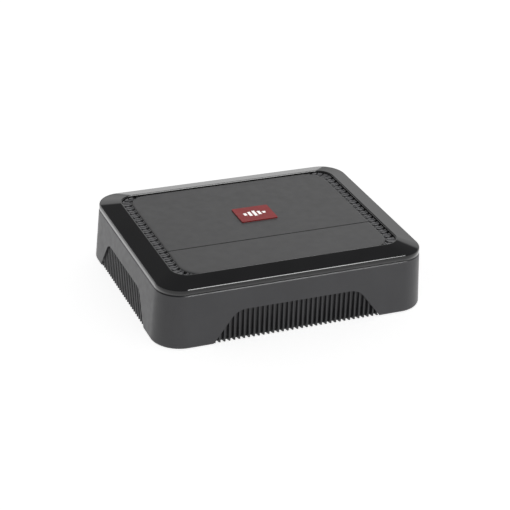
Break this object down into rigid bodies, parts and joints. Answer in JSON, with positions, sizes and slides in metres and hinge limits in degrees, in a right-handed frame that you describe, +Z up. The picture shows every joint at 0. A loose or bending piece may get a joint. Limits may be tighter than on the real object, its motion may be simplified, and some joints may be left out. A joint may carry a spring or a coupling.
{
  "type": "car amplifier",
  "caption": "Compact mono car amplifier: drafted skirt with finned arches, sloped gloss bezel, recessed top plate and a lift-off cover over its controls.",
  "frame": {"origin": "centre of the skirt's foot, on the resting plane", "axes": "+X along the long front face to the right, +Y from front to back, +Z up"},
  "size_m": [0.244, 0.196, 0.057],
  "materials": {
    "skirt_plastic": "fine spark-eroded satin",
    "bezel_gloss": "polished",
    "gasket_rubber": "matt",
    "lid_paint": "fine textured satin powder coat",
    "badge_enamel": "satin enamel",
    "badge_inlay": "satin enamel",
    "fin_cast": "black anodised casting",
    "vent_cast": "grey coated casting",
    "panel_plastic": "matt moulded",
    "base_steel": "black coated sheet steel",
    "screw_steel": "zinc plated",
    "nut_brass": "turned",
    "board_green": "solder mask",
    "pot_case": "moulded",
    "knob_grey": "satin moulded",
    "slider_white": "moulded",
    "ribbon_grey": "extruded",
    "core_ferrite": "epoxy coated",
    "winding_copper": "enamelled wire",
    "can_sleeve": "shrink sleeve",
    "chip_epoxy": "moulded epoxy",
    "pad_silicone": "matt",
    "clamp_aluminium": "sawn bar",
    "terminal_plastic": "moulded",
    "terminal_nickel": "nickel plated",
    "fuse_amber": "translucent moulding",
    "phono_gold": "plated",
    "socket_ivory": "moulded",
    "socket_black": "moulded",
    "lens_blue": "polished lens",
    "lens_red": "polished lens"
  },
  "bodies": {
    "chassis": {"side_skirt": "skirt_plastic", "trim_gasket": "gasket_rubber", "top_bezel": "bezel_gloss", "top_plate": "lid_paint", "badge_plate": "badge_enamel", "badge_bars": "badge_inlay", "front_fin_panel": "fin_cast", "left_fin_panel": "fin_cast", "rear_panel": "panel_plastic", "right_panel": "panel_plastic", "heat_sink": "fin_cast", "left_vent": "vent_cast", "right_vent": "vent_cast", "base_plate": "base_steel", "mount_nuts": "nut_brass", "base_screws": "screw_steel", "bezel_screws": "screw_steel", "plate_screws": "screw_steel", "control_tray": "panel_plastic", "tray_screws": "screw_steel", "control_board": "board_green", "control_pots": "pot_case", "switch_bodies": "chip_epoxy", "ribbon_cable": "ribbon_grey", "circuit_board": "board_green", "board_standoffs": "nut_brass", "board_screws": "screw_steel", "toroid_core": "core_ferrite", "toroid_winding": "winding_copper", "output_inductor": "winding_copper", "input_choke": "winding_copper", "bulk_capacitors": "can_sleeve", "rail_capacitors": "can_sleeve", "mosfets": "chip_epoxy", "thermal_pad": "pad_silicone", "clamp_bar": "clamp_aluminium", "clamp_screws": "screw_steel", "driver_board": "board_green", "power_terminals": "terminal_plastic", "speaker_terminals": "terminal_plastic", "terminal_screws": "terminal_nickel", "fuse_holder": "socket_black", "phono_block": "socket_black", "phono_sleeves": "phono_gold", "line_socket": "socket_ivory", "remote_socket": "socket_black", "power_led": "lens_blue", "protect_led": "lens_red"},
    "access_cover": {"access_cover": "lid_paint"},
    "gain_knob": {"gain_knob": "knob_grey"},
    "lowpass_knob": {"lowpass_knob": "knob_grey"},
    "boost_knob": {"boost_knob": "knob_grey"},
    "phase_slider": {"phase_slider": "slider_white"},
    "level_slider": {"level_slider": "slider_white"},
    "left_fuse": {"left_fuse": "fuse_amber"},
    "right_fuse": {"right_fuse": "fuse_amber"}
  },
  "joints": [
    {"name": "cover_lift", "type": "slide", "parent": "chassis", "child": "access_cover", "axis": [0, 0, 1], "range_m": [0, 0.03]},
    {"name": "gain_turn", "type": "hinge", "parent": "chassis", "child": "gain_knob", "pos_m": [-0.006, -0.0554, 0.045], "axis": [0, 0, 1], "range_deg": [-140, 140]},
    {"name": "lowpass_turn", "type": "hinge", "parent": "chassis", "child": "lowpass_knob", "pos_m": [0.022, -0.0554, 0.045], "axis": [0, 0, 1], "range_deg": [-140, 140]},
    {"name": "boost_turn", "type": "hinge", "parent": "chassis", "child": "boost_knob", "pos_m": [0.05, -0.0554, 0.045], "axis": [0, 0, 1], "range_deg": [-140, 140]},
    {"name": "phase_slide", "type": "slide", "parent": "chassis", "child": "phase_slider", "axis": [1, 0, 0], "range_m": [0, 0.003]},
    {"name": "level_slide", "type": "slide", "parent": "chassis", "child": "level_slider", "axis": [1, 0, 0], "range_m": [0, 0.003]},
    {"name": "left_fuse_pull", "type": "slide", "parent": "chassis", "child": "left_fuse", "axis": [0, 1, 0], "range_m": [0, 0.02]},
    {"name": "right_fuse_pull", "type": "slide", "parent": "chassis", "child": "right_fuse", "axis": [0, 1, 0], "range_m": [0, 0.02]}
  ]
}
